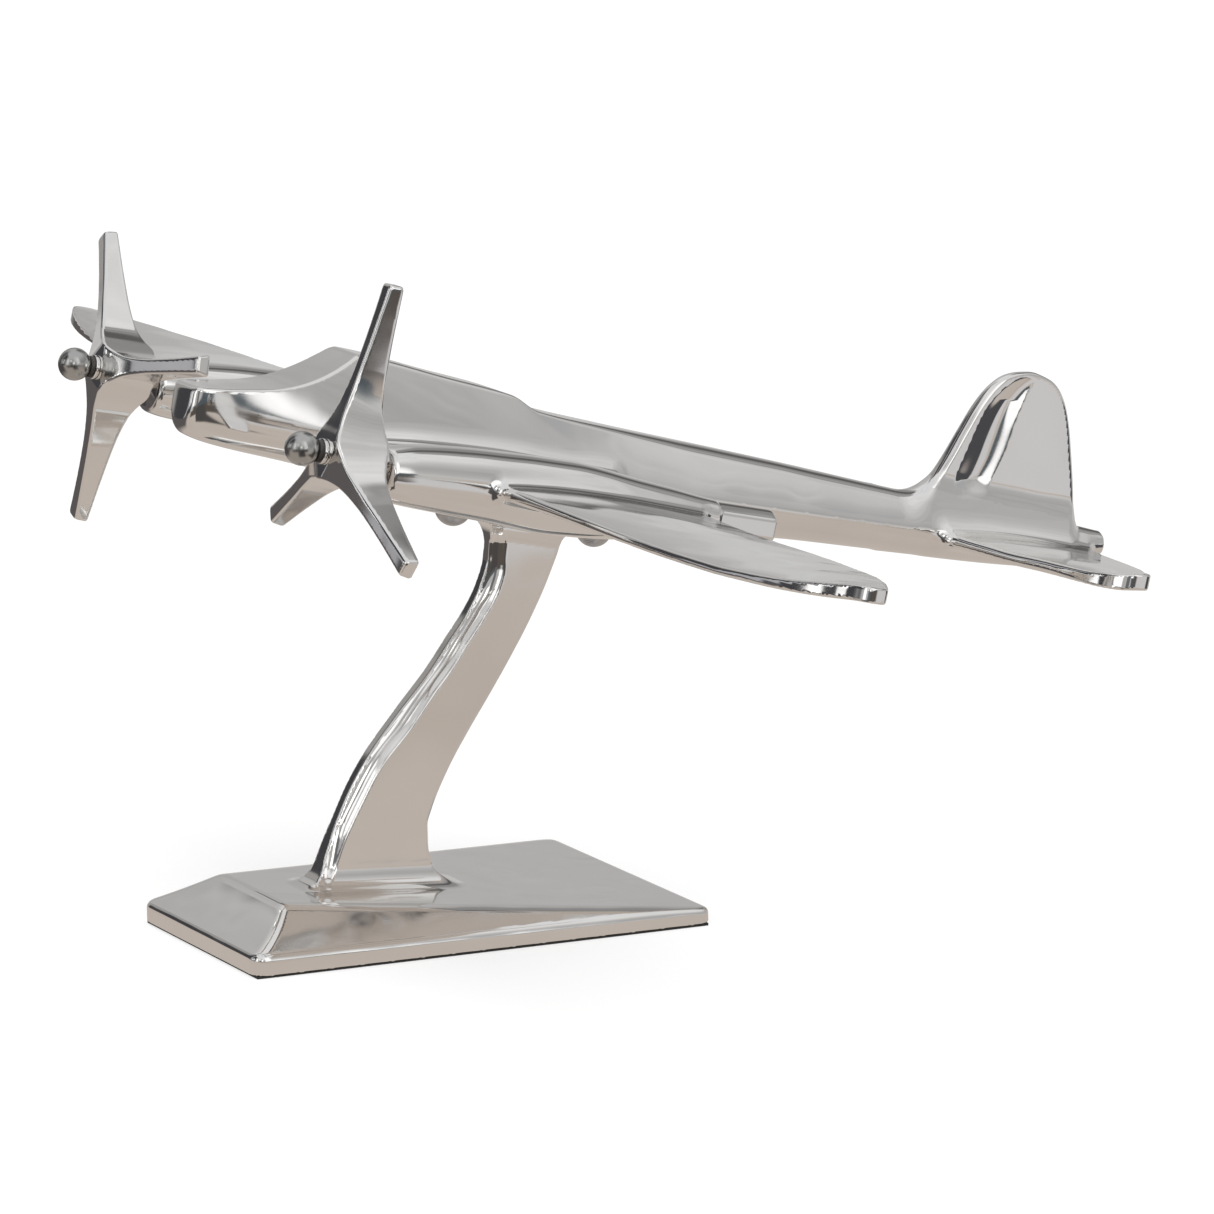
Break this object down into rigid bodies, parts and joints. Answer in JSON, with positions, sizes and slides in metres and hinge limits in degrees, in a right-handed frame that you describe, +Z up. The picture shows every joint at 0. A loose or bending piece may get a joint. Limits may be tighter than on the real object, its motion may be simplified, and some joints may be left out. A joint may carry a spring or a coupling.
{
  "type": "model aeroplane on a stand",
  "caption": "Polished cast desk model of a twin-engined propeller aeroplane climbing on an S-curved arm and a wedge base; its propellers turn.",
  "frame": {"origin": "bottom centre of the base, on the table surface", "axes": "+Z up, nose towards -Y, the aeroplane's port side towards +X"},
  "size_m": [0.784, 0.4773, 0.3145],
  "materials": {
    "cast": "mirror-polished and nickel-plated casting",
    "ball": "polished steel ball",
    "steel": "turned steel",
    "zinc": "dull zinc plate",
    "brass": "turned brass",
    "fibre": "matt black fibre",
    "felt": "black felt"
  },
  "bodies": {
    "stand_and_airframe": {"base_casting": "cast", "felt_pad": "felt", "foot_bolt": "steel", "foot_washer": "steel", "stand_arm": "cast", "belly_bolt_front": "zinc", "belly_bolt_rear": "zinc", "fuselage": "cast", "tail_fin": "cast", "port_wing": "cast", "starboard_wing": "cast", "port_tailplane": "cast", "starboard_tailplane": "cast", "port_shaft": "steel", "port_rear_spacer": "steel", "port_front_washer": "steel", "port_fibre_washer": "fibre", "port_ball_nut": "ball", "starboard_shaft": "steel", "starboard_rear_spacer": "steel", "starboard_front_washer": "steel", "starboard_fibre_washer": "fibre", "starboard_ball_nut": "ball"},
    "port_prop": {"port_propeller": "cast", "port_hub_bush": "brass"},
    "starboard_prop": {"starboard_propeller": "cast", "starboard_hub_bush": "brass"}
  },
  "joints": [
    {"name": "port_prop_spin", "type": "hinge", "parent": "stand_and_airframe", "child": "port_prop", "pos_m": [0.118, -0.0837, 0.2408], "axis": [0, -0.9718, 0.2357], "continuous": true},
    {"name": "starboard_prop_spin", "type": "hinge", "parent": "stand_and_airframe", "child": "starboard_prop", "pos_m": [-0.118, -0.0837, 0.2408], "axis": [0, -0.9718, 0.2357], "continuous": true}
  ]
}
